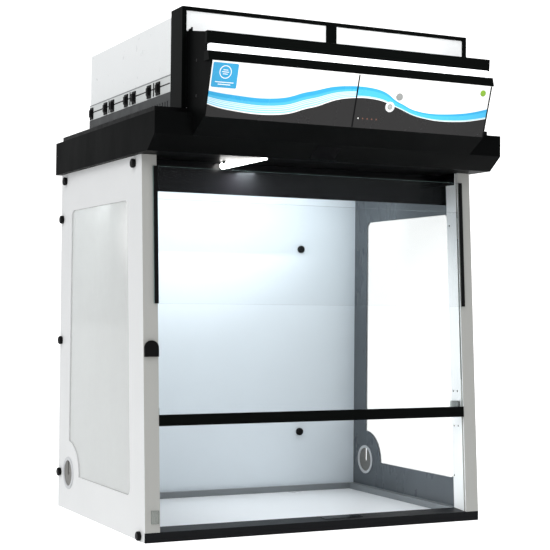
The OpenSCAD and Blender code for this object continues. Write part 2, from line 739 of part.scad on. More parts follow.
module power_bezel() color([0.93, 0.93, 0.93]) difference() {
    union() {
        fascia_round(power_at, bezel_r, -2.5, 0);
        fascia_round(power_at, bezel_r - 2, -join, fascia_t);
    }
    fascia_round(power_at, power_r + fit, -3, fascia_t + 1);
}

button_back = fascia_t + button_travel + 3;

module power_button() color([0.55, 0.56, 0.56]) {
    fascia_round(power_at, power_r, -2.5, fascia_t + 1);
    fascia_round(power_at, power_r + 2, fascia_t + 0.5, fascia_t + 2);
}

module mode_button() color([0.55, 0.55, 0.55]) {
    fascia_round(mode_at, mode_r, -2.5, fascia_t + 1);
    fascia_round(mode_at, mode_r + 2, fascia_t + 0.5, fascia_t + 2);
}

module status_lights() color([0.5, 0.8, 0.1]) {
    fascia_round(led_at, led_r, -1.2, fascia_t);
    for (p = INDICATORS) fascia_round(p, indicator_r, -0.5, fascia_t);
}

module control_board() color([0.05, 0.3, 0.15]) on_fascia() {
    translate([8, button_back + 2, 16]) cube([200, 1.6, 96]);
    for (p = [power_at, mode_at]) translate([p.x - 5, button_back, p.y - 5])
        cube([10, 2, 10]);
    for (x = [40, 160]) translate([x, button_back + 3.6, 30]) cube([24, 10, 24]);
}

module mains_gland() color([0.08, 0.08, 0.08])
    translate([gland_x, front_y + canopy_rear, gland_z]) rotate([90, 0, 0]) difference() {
        union() {
            cylinder(h = canopy_t + 14, r = gland_r);
            translate([0, 0, canopy_t]) cylinder(h = 4, r = gland_r + 4, $fn = 6);
        }
        translate([0, 0, -1]) cylinder(h = canopy_t + 16, r = 4);
    }

sill();
base_tray();
worktop();
side_panel(-1);  // side_panel_left
side_panel(1);  // side_panel_right
side_liner(-1);  // side_liner_left
side_liner(1);  // side_liner_right
side_window(-1);  // side_window_left
side_window(1);  // side_window_right
port_rings();
port_cover(-1);  // port_cover_left
port_cover(1);  // port_cover_right
rear_panel();
rear_cover();
rear_posts();
panel_knobs();
post(-1);  // post_left
post(1);  // post_right
pane_strips();
upper_pane();
sash_pane();
sash_handle();
sash_runners();
clear_stops();
small_screws();
airflow_sensor();
header_baffle();
lamp_tube();
lamp_clips();
canopy_shell();
canopy_deck();
hand_sensor();
prefilter_pad();
filter_tray();
cassette(-1);  // cassette_left
cassette(1);  // cassette_right
carbon_beds();
filter_clips();
fan_deck();
fan_shell(-1);  // fan_shell_left
fan_shell(1);  // fan_shell_right
fan_motors();
impeller(-1);  // impeller_left
impeller(1);  // impeller_right
exhaust_grilles();
surround_uprights();
surround_top();
front_panel();
head_housing();
head_rails();
light_bar();
fascia_left();
fascia_right();
badge();
power_bezel();
power_button();
mode_button();
status_lights();
control_board();
mains_gland();
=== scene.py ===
"""Ductless filtering fume hood: the looks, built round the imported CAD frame."""
import math

import bmesh
import bpy
from mathutils import Matrix, Vector


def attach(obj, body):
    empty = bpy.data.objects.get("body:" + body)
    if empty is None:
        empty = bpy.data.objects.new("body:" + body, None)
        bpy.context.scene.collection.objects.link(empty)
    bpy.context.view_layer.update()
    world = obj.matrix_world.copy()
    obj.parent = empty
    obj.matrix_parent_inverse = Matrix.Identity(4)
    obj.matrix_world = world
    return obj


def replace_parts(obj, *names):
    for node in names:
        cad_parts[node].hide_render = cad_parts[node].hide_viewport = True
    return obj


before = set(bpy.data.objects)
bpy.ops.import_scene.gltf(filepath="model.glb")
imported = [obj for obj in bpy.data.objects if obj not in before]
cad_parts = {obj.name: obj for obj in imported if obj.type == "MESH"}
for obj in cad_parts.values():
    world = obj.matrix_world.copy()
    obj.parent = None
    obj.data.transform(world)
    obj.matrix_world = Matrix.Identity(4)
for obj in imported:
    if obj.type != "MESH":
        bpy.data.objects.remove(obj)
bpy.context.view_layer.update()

MM = 0.001
TAU = 2 * math.pi


def srgb(r, g, b):
    """An 8-bit display colour as linear RGBA."""
    def line(c):
        c /= 255
        return c / 12.92 if c <= 0.04045 else ((c + 0.055) / 1.055) ** 2.4
    return (line(r), line(g), line(b), 1)


def tuned(colour, k):
    """The colour k times as bright."""
    return tuple(min(c * k, 1) for c in colour[:3]) + (1,)


# ---------------------------------------------------------------- materials

class Shader:
    """A material's node tree, with short calls for the nodes used here."""

    def __init__(self, name):
        self.material = bpy.data.materials.new(name)
        self.material.use_nodes = True
        self.tree = self.material.node_tree
        self.tree.nodes.clear()
        self.place = self.add("TexCoord").outputs["Object"]

    def add(self, kind, inputs=None, **settings):
        node = self.tree.nodes.new("ShaderNode" + kind)
        for key, value in settings.items():
            setattr(node, key, value)
        for key, value in (inputs or {}).items():
            self.feed(node.inputs[key], value)
        return node

    def feed(self, socket, value):
        if isinstance(value, bpy.types.NodeSocket):
            self.tree.links.new(value, socket)
        else:
            socket.default_value = value

    def maths(self, operation, *values, clamp=False):
        return self.add("Math", dict(enumerate(values)), operation=operation,
                        use_clamp=clamp).outputs[0]

    def vector(self, operation, *values):
        node = self.add("VectorMath", dict(enumerate(values)), operation=operation)
        return node.outputs["Value" if operation == "DOT_PRODUCT" else "Vector"]

    def stretched(self, x, y, z):
        return self.vector("MULTIPLY", self.place, (x, y, z))

    def noise(self, scale, detail=2.0, roughness=0.5, where=None, distortion=0.0):
        return self.add("TexNoise", {"Vector": where or self.place, "Scale": scale,
                                     "Detail": detail, "Roughness": roughness,
                                     "Distortion": distortion}).outputs[0]

    def cells(self, scale, feature="F1", where=None, out="Distance"):
        return self.add("TexVoronoi", {"Vector": where or self.place, "Scale": scale},
                        feature=feature).outputs[out]

    def ranged(self, value, low, high, to_low=0.0, to_high=1.0, smooth=False):
        return self.add("MapRange", {0: value, 1: low, 2: high, 3: to_low, 4: to_high},
                        interpolation_type="SMOOTHSTEP" if smooth else "LINEAR").outputs[0]

    def mixed(self, share, a, b, blend="MIX"):
        node = self.add("Mix", {0: share, 6: a, 7: b}, data_type="RGBA", blend_type=blend)
        return node.outputs[2]

    def ramp(self, value, stops):
        node = self.add("ValToRGB", {0: value})
        points = node.color_ramp.elements
        while len(points) < len(stops):
            points.new(1.0)
        for point, (at, colour) in zip(points, stops):
            point.position = at
            point.color = colour
        return node.outputs[0]

    def bump(self, height, distance):
        return self.add("Bump", {"Height": height, "Distance": distance}).outputs[0]

    def axes(self):
        return self.add("SeparateXYZ", {0: self.place}).outputs

    def facing(self):
        """The surface's normal as three numbers."""
        return self.add("SeparateXYZ",
                        {0: self.add("NewGeometry").outputs["Normal"]}).outputs

    def edges(self, radius, low=0.02, high=0.35):
        """1 near the edges of the mesh, 0 on its flats."""
        round_normal = self.add("Bevel", {"Radius": radius}, samples=4).outputs[0]
        flat_normal = self.add("NewGeometry").outputs["True Normal"]
        lean = self.vector("DOT_PRODUCT", round_normal, flat_normal)
        return self.ranged(lean, 1 - low, 1 - high, 0, 1)

    def principled(self, **inputs):
        names = {k.replace("_", " "): v for k, v in inputs.items()}
        return self.add("BsdfPrincipled", names).outputs[0]

    def done(self, surface):
        self.add("OutputMaterial", {"Surface": surface})
        return self.material


def coated(name, colour, rough=0.42, spread=0.06, grain=900, depth=0.03, spec=0.5,
           edge=None, dust=0.0, tone=0.12):
    """Painted or powder-coated sheet metal, tinted to edge's colour in patches at its corners:
    wear, and on dark coats also a painted edge highlight.
    """
    s = Shader(name)
    cloud = s.noise(5, 4, 0.55)
    shade = s.mixed(s.ranged(cloud, 0.35, 0.65), tuned(colour, 1 - tone), tuned(colour, 1 + tone))
    speck = s.ranged(s.noise(grain * 2.2, 1), 0.62, 0.75, 0, 0.12)
    shade = s.mixed(speck, shade, tuned(colour, 1.6))
    if edge:
        # patchy edge tint: wear, and where it is lighter than the coat a painted highlight
        edge_wear_and_highlight = s.maths("MULTIPLY", s.edges(0.0012), s.ranged(s.noise(60, 3), 0.4, 0.62))
        shade = s.mixed(s.maths("MULTIPLY", edge_wear_and_highlight, 0.7), shade, edge)
    if dust:
        up = s.ranged(s.facing()[2], 0.8, 1.0)
        lint = s.ranged(s.noise(26, 6, 0.7), 0.42, 0.75, 0.0, dust)
        shade = s.mixed(s.maths("MULTIPLY", up, lint), shade, srgb(150, 148, 142))
    smear = s.noise(9, 5, 0.6, s.stretched(1, 1, 0.45))
    gloss = s.ranged(smear, 0.3, 0.7, rough - spread, rough + spread)
    peel = s.noise(grain, 2, 0.4)
    return s.done(s.principled(Base_Color=shade, Roughness=gloss, Specular_IOR_Level=spec,
                               Normal=s.bump(peel, depth * MM)))


def moulded(name, colour, rough=0.5, grain=1500, depth=0.02, spec=0.4, tone=0.1, coat=0.0):
    """Moulded plastic with a fine spark-eroded texture."""
    s = Shader(name)
    cloud = s.noise(14, 3)
    shade = s.mixed(s.ranged(cloud, 0.3, 0.7), tuned(colour, 1 - tone), tuned(colour, 1 + tone))
    pores = s.cells(grain, "SMOOTH_F1")
    shade = s.mixed(s.ranged(pores, 0.2, 0.6, 0, 0.15), shade, tuned(colour, 0.6))
    gloss = s.ranged(s.noise(30, 4), 0.3, 0.7, rough - 0.07, rough + 0.07)
    return s.done(s.principled(
        Base_Color=shade, Roughness=gloss, Specular_IOR_Level=spec, Coat_Weight=coat,
        Coat_Roughness=0.1, Normal=s.bump(pores, depth * MM)))


def brushed(name, colour, along=(1, 1, 0.02), rough=0.32, metal=1.0, spec=0.5,
            tone=0.12):
    """Brushed or extruded metal whose lines run along the axis with the small factor."""
    s = Shader(name)
    lines = s.noise(1400, 3, 0.6, s.stretched(*along))
    cloud = s.noise(7, 3)
    shade = s.mixed(s.ranged(lines, 0.3, 0.7), tuned(colour, 1 - tone), tuned(colour, 1 + tone))
    shade = s.mixed(s.ranged(cloud, 0.4, 0.7, 0, 0.3), shade, tuned(colour, 0.88))
    gloss = s.ranged(lines, 0.3, 0.7, rough - 0.08, rough + 0.08)
    return s.done(s.principled(
        Base_Color=shade, Roughness=gloss, Metallic=metal, Specular_IOR_Level=spec,
        Normal=s.bump(lines, 0.012 * MM)))


DEEP_GLASS = (0.03, 0.034, 0.036, 1)      # colour of a pane's mirror share


def pane(name, tint, veil, veil_colour, edge_colour, thin="y", sheen=0.3, painted_sheen_paleness=0.0):
    """Thin clear sheet: what is behind shows through a tint, under a reflecting veil that
    grows at grazing angles with sheen; its paleness there, set by the last argument, is painted
    sheen."""
    s = Shader(name)
    film = s.noise(6, 5, 0.6, s.stretched(1, 1, 0.5))
    wiped = s.noise(55, 4, 0.65, s.stretched(0.25, 1, 1))
    haze = s.maths("ADD", s.ranged(film, 0.3, 0.7, -0.25, 0.25),
                   s.ranged(wiped, 0.3, 0.7, -0.1, 0.1))
    haze = s.maths("MULTIPLY", s.maths("ADD", haze, 1.0), veil)
    # share grows at grazing angles; where the base colour is pale this is a painted sheen
    reflection_and_painted_sheen = s.maths("MULTIPLY", s.add("Fresnel", {"IOR": 1.45}).outputs[0], sheen)
    share = s.maths("ADD", haze, reflection_and_painted_sheen, clamp=True)
    pale = s.mixed(s.maths("MAXIMUM", s.maths("DIVIDE", haze, share), painted_sheen_paleness),
                   DEEP_GLASS, veil_colour)
    across = s.facing()["xyz".index(thin)]
    rim = s.ranged(s.maths("ABSOLUTE", across), 0.75, 0.35)
    share = s.maths("MAXIMUM", share, s.maths("MULTIPLY", rim, 0.75))
    surface = s.mixed(rim, pale, edge_colour)
    clear = s.add("BsdfTransparent", {"Color": tint}).outputs[0]
    body = s.principled(Base_Color=surface, Roughness=s.ranged(film, 0.3, 0.7, 0.03, 0.09),
                        Specular_IOR_Level=0.6)
    return s.done(s.add("MixShader", {0: share, 1: clear, 2: body}).outputs[0])


def post_with_painted_lit_faces(name):
    """Front posts: satin grey on the front flange, white on the faces inside the chamber;
    that white is painted light, a lighter side for the lamp light falling there.
    """
    s = Shader(name)
    lines = s.noise(1400, 3, 0.6, s.stretched(1, 1, 0.02))
    front = s.ranged(s.facing()[1], -0.4, -0.7)
    tone = s.ranged(lines, 0.3, 0.7, 0, 0.08)
    grey = s.mixed(tone, srgb(176, 176, 172), srgb(152, 152, 148))
    # painted light: faces not turned to the front get a white that stands in for the chamber lamp's
    # light
    white = s.mixed(tone, srgb(246, 249, 249), srgb(226, 232, 234))
    gloss = s.ranged(lines, 0.3, 0.7, 0.36, 0.46)
    return s.done(s.principled(Base_Color=s.mixed(front, white, grey), Roughness=gloss,
                               Specular_IOR_Level=0.3, Normal=s.bump(lines, 0.01 * MM)))


def lit(name, colour, strength, ribs=600):
    """A lit diffuser with fine prism ribs."""
    s = Shader(name)
    rib = s.add("TexWave", {"Vector": s.place, "Scale": ribs, "Distortion": 0.4},
                wave_type="BANDS", bands_direction="Y").outputs[1]
    shade = s.mixed(s.ranged(s.noise(12, 3), 0.3, 0.7), tuned(colour, 0.93), colour)
    return s.done(s.principled(
        Base_Color=shade, Roughness=s.ranged(rib, 0, 1, 0.3, 0.45), Emission_Color=colour,
        Emission_Strength=strength, Normal=s.bump(rib, 0.03 * MM)))


def fibre_pad(name):
    """Non-woven prefilter pad: crossing fibres with soft hollows, the hollows darker as painted
    shade.
    """
    s = Shader(name)
    one = s.noise(420, 4, 0.7, s.stretched(1, 0.16, 1), 1.2)
    two = s.noise(420, 4, 0.7, s.stretched(0.16, 1, 1), 1.2)
    web = s.maths("MAXIMUM", one, two)
    # painted shade: hollows between the fibres darker grey, raised fibres near white
    shade = s.mixed(s.ranged(web, 0.42, 0.72), srgb(176, 180, 180), srgb(240, 242, 241))
    dusty = s.ranged(s.noise(7, 4), 0.45, 0.8, 0, 0.35)
    shade = s.mixed(dusty, shade, srgb(168, 164, 152))
    return s.done(s.principled(Base_Color=shade, Roughness=s.ranged(web, 0, 1, 0.95, 0.75),
                               Sheen_Weight=0.25, Normal=s.bump(web, 0.5 * MM)))


def granules(name):
    """Bed of activated carbon pellets."""
    s = Shader(name)
    gaps = s.cells(330)
    each = s.cells(330, out="Color")
    tone = s.add("SeparateColor", {0: each}).outputs[0]
    shade = s.mixed(tone, srgb(22, 22, 23), srgb(62, 62, 64))
    # painted shade: the recessed gaps between pellets darkened to near black
    shade = s.mixed(s.ranged(gaps, 0.35, 0.7), shade, srgb(6, 6, 6))
    return s.done(s.principled(Base_Color=shade, Roughness=s.ranged(tone, 0, 1, 0.55, 0.85),
                               Normal=s.bump(gaps, -1.6 * MM)))


FOOT = (-0.41834, 1.05985)          # y and z of the fascia's foot
TILT = math.radians(17.4)
FASCIA_H = 0.1388
# Height up the fascia, in mm, of the wave's upper and lower edge at some x
WAVE_TOP = ((-409, 63.7), (-350, 58.6), (-240, 57), (-132, 83), (-20, 106), (53, 105),
            (134, 73.6), (215, 53), (284, 54), (400, 74.4))
WAVE_FOOT = ((-409, 30.6), (-345, 19.2), (-234, 15.7), (-125, 41.4), (5, 77), (58, 77),
             (121, 62), (219, 37), (288, 34), (401, 48.5))


def printed_film(name):
    """The fascia's printed film: white above, a striped blue wave and dark grey below."""
    s = Shader(name)
    x, y, z = s.axes()[0], s.axes()[1], s.axes()[2]
    rise = s.maths("MULTIPLY", s.maths("SUBTRACT", z, FOOT[1]), math.cos(TILT))
    lean = s.maths("MULTIPLY", s.maths("SUBTRACT", y, FOOT[0]), math.sin(TILT))
    up = s.maths("SUBTRACT", rise, lean)
    across = s.ranged(x, -0.41, 0.41)

    def edge(points):
        node = s.add("FloatCurve", {"Value": across})
        curve = node.mapping.curves[0]
        spots = [((px + 410) / 820, ph * MM / FASCIA_H) for px, ph in points]
        while len(curve.points) < len(spots):
            curve.points.new(0.5, 0.5)
        for point, spot in zip(curve.points, spots):
            point.location = spot
        node.mapping.update()
        return s.maths("MULTIPLY", node.outputs[0], FASCIA_H)

    top, foot = edge(WAVE_TOP), edge(WAVE_FOOT)
    within = s.maths("DIVIDE", s.maths("SUBTRACT", up, foot), s.maths("SUBTRACT", top, foot))
    margin = 0.25                                # room over and under the wave in the ramp
    level = s.ranged(within, -margin, 1 + margin)
    dark, white = srgb(30, 29, 29), srgb(255, 255, 254)
    sky, pale, deep = srgb(78, 184, 224), srgb(150, 214, 238), srgb(48, 164, 214)

    def at(share):
        return (share + margin) / (1 + 2 * margin)

    def bands(stripes, top_colour, mid_colour, low_colour):
        stops = [(0, dark), (at(-0.01), dark), (at(0.01), white), (at(0.06), white)]
        for low, high in stripes:
            stops += [(at(low), low_colour), (at(high - 0.03), low_colour), (at(high), white)]
        last = stripes[-1][1] if stripes else 0.09
        stops += [(at(last + 0.03), mid_colour), (at(0.70), mid_colour), (at(0.76), top_colour),
                  (at(0.97), top_colour), (at(1.03), white)]
        return s.ramp(level, stops)

    left = bands([(0.09, 0.19), (0.23, 0.32), (0.36, 0.43), (0.46, 0.53)], deep, sky, pale)
    right = bands([(0.08, 0.16)], srgb(50, 170, 222), srgb(74, 188, 234), pale)
    side = s.ranged(x, 0.0025, 0.0035)
    shade = s.mixed(side, left, right)
    ink = s.noise(2600, 2)
    shade = s.mixed(s.ranged(ink, 0.5, 0.8, 0, 0.03), shade, srgb(40, 44, 48))
    gloss = s.ranged(s.noise(8, 5, 0.6), 0.3, 0.7, 0.2, 0.32)
    return s.done(s.principled(Base_Color=shade, Roughness=gloss, Specular_IOR_Level=0.35,
                               Normal=s.bump(ink, 0.004 * MM)))


def indicator_lens(name):
    """Status lenses: a green lamp at the right, one white and several dull red dots."""
    s = Shader(name)
    x = s.axes()[0]
    green = s.ranged(x, 0.3, 0.31)
    first = s.ranged(x, 0.022, 0.024)
    dots = s.mixed(first, srgb(240, 240, 238), srgb(120, 58, 56))
    shade = s.mixed(green, dots, srgb(134, 182, 26))
    prism = s.cells(1100)
    shade = s.mixed(s.ranged(prism, 0.2, 0.7, 0, 0.25), shade, srgb(80, 110, 20))
    return s.done(s.principled(Base_Color=shade, Roughness=s.ranged(prism, 0, 1, 0.2, 0.3),
                               Coat_Weight=0.6, Normal=s.bump(prism, 0.04 * MM)))


def circuit(name):
    """Green circuit board with fine tracks."""
    s = Shader(name)
    tracks = s.add("TexBrick", {"Vector": s.place, "Scale": 160.0, "Mortar Size": 0.03,
                                "Color1": srgb(10, 74, 42), "Color2": srgb(14, 88, 50),
                                "Mortar": srgb(120, 130, 60)})
    return s.done(s.principled(Base_Color=tracks.outputs[0],
                               Roughness=s.ranged(s.noise(90, 3), 0.3, 0.7, 0.3, 0.5),
                               Normal=s.bump(tracks.outputs[1], 0.03 * MM)))


FINISH = {
    # its lighter edge colour is wear and a painted edge highlight
    "black_coat": coated("black_coat", srgb(10, 11, 11), 0.4, 0.07, spec=0.02,
                         edge=srgb(46, 48, 48), dust=0.03, tone=0.2),
    "black_alloy": brushed("black_alloy", srgb(6, 8, 7), (0.02, 1, 1), 0.36, 0.0, 0.04, 0.3),
    "black_plastic": moulded("black_plastic", srgb(8, 8, 9), 0.42, spec=0.12, tone=0.3),
    "white_coat": coated("white_coat", srgb(230, 231, 231), 0.4, 0.05, depth=0.02, tone=0.012,
                         edge=srgb(214, 214, 210)),
    "liner_grey": coated("liner_grey", srgb(90, 96, 101), 0.3, 0.06, depth=0.02, spec=0.3,
                         tone=0.05),
    "tray_grey": coated("tray_grey", srgb(122, 127, 130), 0.34, 0.06, tone=0.05),
    "worktop_white": coated("worktop_white", srgb(240, 243, 245), 0.3, 0.03, 500, 0.01,
                            spec=0.35, tone=0.008),
    "clear_pane": pane("clear_pane", (0.99, 0.993, 0.994, 1), 0.003, srgb(222, 238, 244),
                       srgb(120, 150, 146)),
    # the side panes' last two numbers paint a pale sheen at grazing angles
    "left_pane": pane("left_pane", (0.99, 0.985, 0.98, 1), 0.05, srgb(246, 248, 247),
                      srgb(150, 165, 165), "x", 2.5, 1.0),
    "right_pane": pane("right_pane", (0.99, 0.99, 0.985, 1), 0.03, srgb(246, 248, 247),
                       srgb(150, 165, 165), "x", 0.4, 1.0),
    "port_grey": moulded("port_grey", srgb(206, 208, 210), 0.36, tone=0.03),
    "cover_grey": moulded("cover_grey", srgb(118, 117, 113), 0.4, tone=0.04),
    "rear_white": coated("rear_white", srgb(222, 231, 237), 0.36, 0.05, depth=0.012, spec=0.3,
                         tone=0.012),
    "frame_alloy": brushed("frame_alloy", srgb(206, 207, 208)),
    "post_grey": post_with_painted_lit_faces("post_grey"),
    "clear_plastic": pane("clear_plastic", (0.93, 0.95, 0.94, 1), 0.2, srgb(186, 190, 186),
                          srgb(140, 146, 142)),
    "slider_white": moulded("slider_white", srgb(236, 236, 230), 0.34, tone=0.02),
    "screw_steel": brushed("screw_steel", srgb(152, 154, 156), (1, 0.2, 1), 0.3),
    "header_black": coated("header_black", srgb(9, 9, 11), 0.16, 0.05, 500, 0.008, spec=0.16,
                           tone=0.12),
    "lamp_white": lit("lamp_white", (1.0, 0.985, 0.96, 1), 14.0, 900),
    "sensor_black": coated("sensor_black", srgb(5, 5, 6), 0.14, 0.03, 500, 0.005, spec=0.08),
    "pad_white": fibre_pad("pad_white"),
    "filter_dark": moulded("filter_dark", srgb(74, 76, 77), 0.5, tone=0.08),
    "filter_grey": moulded("filter_grey", srgb(226, 229, 228), 0.46, tone=0.05),
    "carbon_black": granules("carbon_black"),
    "deck_steel": brushed("deck_steel", srgb(176, 178, 180), (1, 0.03, 1), 0.34),
    "fan_white": moulded("fan_white", srgb(250, 252, 252), 0.34, 900, 0.015, tone=0.01),
    "motor_grey": coated("motor_grey", srgb(74, 77, 80), 0.4),
    "fan_black": moulded("fan_black", srgb(30, 31, 33), 0.44, tone=0.15),
    "light_white": lit("light_white", (0.97, 0.985, 1.0, 1), 1.1, 700),
    "fascia_film": printed_film("fascia_film"),
    "badge_blue": moulded("badge_blue", srgb(40, 162, 212), 0.24, 900, 0.006, tone=0.05, coat=0.4),
    "bezel_white": moulded("bezel_white", srgb(236, 237, 237), 0.3, tone=0.015),
    "button_grey": moulded("button_grey", srgb(150, 152, 150), 0.36, tone=0.06),
    "status_green": indicator_lens("status_green"),
    "board_green": circuit("board_green"),
    "screw_black": moulded("screw_black", srgb(20, 20, 21), 0.36, tone=0.2),
    "sill_black": brushed("sill_black", srgb(22, 23, 25), (0.02, 1, 1), 0.4, 0.0, 0.08, 0.1),
    "mark_white": moulded("mark_white", srgb(238, 246, 250), 0.3, tone=0.01),
}

# ---------------------------------------------------------------- the CAD nodes

OWN_FINISH = {"sill": "sill_black",
              "side_window_left": "left_pane", "side_window_right": "right_pane",
              "port_cover_left": "cover_grey", "port_cover_right": "cover_grey"}
# Width of the rounded edges, in mm, of each CAD node that has any
ROUNDED = {
    0.8: ["sill", "base_tray", "side_panel_left", "side_panel_right", "post_left", "post_right",
          "rear_cover", "rear_posts", "filter_tray", "cassette_left", "cassette_right",
          "head_rails", "light_bar"],
    1.2: ["canopy_shell", "canopy_deck", "front_panel", "surround_uprights", "surround_top",
          "head_housing", "sash_handle", "airflow_sensor", "filter_clips"],
    0.4: ["worktop", "port_rings", "port_cover_left", "port_cover_right", "clear_stops",
          "lamp_clips", "fan_deck", "fan_motors", "impeller_left",
          "impeller_right", "exhaust_grilles", "power_bezel", "power_button", "mode_button",
          "status_lights", "mains_gland", "upper_pane", "sash_pane", "hand_sensor",
          "header_baffle", "prefilter_pad"],
    4.0: ["fan_shell_left", "fan_shell_right"],
}


def soften(node, width):
    """Rounds a CAD node's edges."""
    weld = node.modifiers.new("weld", "WELD")
    weld.merge_threshold = 1e-5
    flat = node.modifiers.new("flat", "DECIMATE")
    flat.decimate_type = "DISSOLVE"
    flat.angle_limit = math.radians(0.6)
    bevel = node.modifiers.new("edges", "BEVEL")
    bevel.width = width * MM
    bevel.segments = 3 if width > 2 else 2
    bevel.limit_method = "ANGLE"
    bevel.angle_limit = math.radians(40)
    bevel.use_clamp_overlap = True


for width, names in ROUNDED.items():
    for name in names:
        soften(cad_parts[name], width)

for name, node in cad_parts.items():
    for held in node.material_slots:
        held.material = FINISH[OWN_FINISH.get(name, held.material.name.split(".")[0])]

# ---------------------------------------------------------------- mesh helpers


def piece(name, bm, body, finish, smooth=True):
    """Turns a bmesh in the row frame into a piece that rides on a body."""
    bmesh.ops.recalc_face_normals(bm, faces=bm.faces)
    mesh = bpy.data.meshes.new(name)
    bm.to_mesh(mesh)
    bm.free()
    mesh.materials.append(FINISH[finish])
    ob = bpy.data.objects.new(name, mesh)
    bpy.context.scene.collection.objects.link(ob)
    if smooth:
        mesh.shade_smooth()
        mesh.set_sharp_from_angle(angle=math.radians(38))
    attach(ob, body)
    return ob


def lathe(bm, profile, place, steps=32, wave=None):
    """Turns (radius, height) points round place's z axis; wave(i, angle) scales a ring."""
    rings = []
    for i, (r, h) in enumerate(profile):
        if r < 1e-7:
            rings.append([bm.verts.new(place @ Vector((0, 0, h * MM)))])
            continue
        ring = []
        for k in range(steps):
            a = TAU * k / steps
            q = r * MM * (wave(i, a) if wave else 1)
            ring.append(bm.verts.new(place @ Vector((q * math.cos(a), q * math.sin(a), h * MM))))
        rings.append(ring)
    for low, high in zip(rings, rings[1:]):
        for k in range(steps):
            n = (k + 1) % steps
            quad = [low[k % len(low)], low[n % len(low)], high[n % len(high)], high[k % len(high)]]
            faces = list(dict.fromkeys(quad))
            if len(faces) > 2:
                bm.faces.new(faces)
    for ring in (rings[0], rings[-1]):
        if len(ring) > 2:
            bm.faces.new(ring)


def hexed(ring_numbers):
    """A wave for lathe() that makes those rings hexagons."""
    def wave(i, a):
        if i not in ring_numbers:
            return 1
        return math.cos(math.pi / 6) / math.cos((a % (math.pi / 3)) - math.pi / 6)
    return wave


def aim(x, y, z, along):
    """A frame at a point in mm whose z axis points along a direction."""
    turn = Vector(along).to_track_quat("Z", "Y").to_matrix().to_4x4()
    return Matrix.Translation(Vector((x, y, z)) * MM) @ turn


def slab(bm, outline, low, high, place, chamfer=0.0):
    """A closed slab from an outline of (x, y) in mm between two heights, chamfered on top."""
    centre = (sum(p[0] for p in outline) / len(outline), sum(p[1] for p in outline) / len(outline))

    def ring(h, inset):
        made = []
        for px, py in outline:
            dx, dy = px - centre[0], py - centre[1]
            r = math.hypot(dx, dy) or 1
            k = (r - inset) / r
            made.append(bm.verts.new(place @ Vector(
                ((centre[0] + dx * k) * MM, (centre[1] + dy * k) * MM, h * MM))))
        return made

    rings = [ring(low, 0)]
    if chamfer:
        rings += [ring(high - chamfer, 0), ring(high, chamfer)]
    else:
        rings += [ring(high, 0)]
    n = len(outline)
    for a, b in zip(rings, rings[1:]):
        for k in range(n):
            bm.faces.new([a[k], a[(k + 1) % n], b[(k + 1) % n], b[k]])
    bm.faces.new(rings[0][::-1])
    bm.faces.new(rings[-1])


def round_rect(x0, y0, x1, y1, r, steps=5):
    points = []
    for cx, cy, a0 in ((x1 - r, y1 - r, 0), (x0 + r, y1 - r, 90), (x0 + r, y0 + r, 180),
                       (x1 - r, y0 + r, 270)):
        for k in range(steps + 1):
            a = math.radians(a0 + 90 * k / steps)
            points.append((cx + r * math.cos(a), cy + r * math.sin(a)))
    return points


def ring_band(bm, r0, r1, low, high, place, cx=0, cy=0, steps=40, a0=0.0, a1=TAU):
    """A flat ring or arc in mm."""
    closed = abs(a1 - a0 - TAU) < 1e-6
    count = steps if closed else steps + 1
    corners = []
    for k in range(count):
        a = a0 + (a1 - a0) * k / steps
        c, s = math.cos(a), math.sin(a)
        corners.append([bm.verts.new(place @ Vector(((cx + r * c) * MM, (cy + r * s) * MM, h * MM)))
                        for r, h in ((r0, low), (r1, low), (r1, high), (r0, high))])
    for k in range(count if closed else count - 1):
        a, b = corners[k], corners[(k + 1) % count]
        for i in range(4):
            j = (i + 1) % 4
            bm.faces.new([a[i], b[i], b[j], a[j]])
    if not closed:
        bm.faces.new(corners[0])
        bm.faces.new(corners[-1][::-1])


def box_into(bm, low, high):
    """A plain box of two corners in mm, for small parts of a larger mesh."""
    made = bmesh.ops.create_cube(bm, size=1)["verts"]
    size = Vector(high) - Vector(low)
    bmesh.ops.scale(bm, vec=size * MM, verts=made)
    bmesh.ops.translate(bm, vec=(Vector(low) + size / 2) * MM, verts=made)
    return made


def bevelled(ob, width, segments=2):
    made = ob.modifiers.new("edges", "BEVEL")
    made.width = width * MM
    made.segments = segments
    made.limit_method = "ANGLE"
    return ob


# Sizes and places in mm, as in the CAD
FRONT = -276.65                    # y of the sill's front face
HALF_W = 500.0                     # half width over the side panels
POST_IN = 459                      # x of the posts' inner faces
HEAD_HALF = 412                    # half width over the head's cheeks
LEAN = math.radians(3.3)           # of the front
SILL_H = 25
CANOPY_TOP = 1076.3
STACK_FRONT, STACK_BACK, STACK_HALF = 43, 690, 428
TRAY_TOP = 1144.3
REAR_PANEL_Y, REAR_COVER_Y, CANOPY_REAR_Y = 704, 723, 736.5
BADGE_AT, POWER_AT, MODE_AT, LED_AT = (-371, 104), (105, 61), (130, 89), (386, 118)


def fascia_frame(x, up, out=0.0):
    """Frame on the fascia's face: x to the right, y up the fascia, z out of it, in mm."""
    foot = Vector((x, FOOT[0] / MM, FOOT[1] / MM))
    rise = Vector((0, -math.sin(TILT), math.cos(TILT)))
    outward = Vector((0, -math.cos(TILT), -math.sin(TILT)))
    spot = (foot + rise * up + outward * out) * MM
    turn = Matrix((Vector((1, 0, 0)), rise, outward)).transposed().to_4x4()
    return Matrix.Translation(spot) @ turn


# ---------------------------------------------------------------- thumb knobs and screws

KNOB_PROFILE = [(0, 0), (10.6, 0), (11.4, 0.8), (12, 2), (12, 7.2), (11.2, 9), (9.6, 9.9),
                (7.2, 10), (6.6, 9.5), (0, 9.3)]


KNURLS = 14
KNURL_DEPTH = 0.035                # of the radius
KNOB_STEPS = 6 * KNURLS


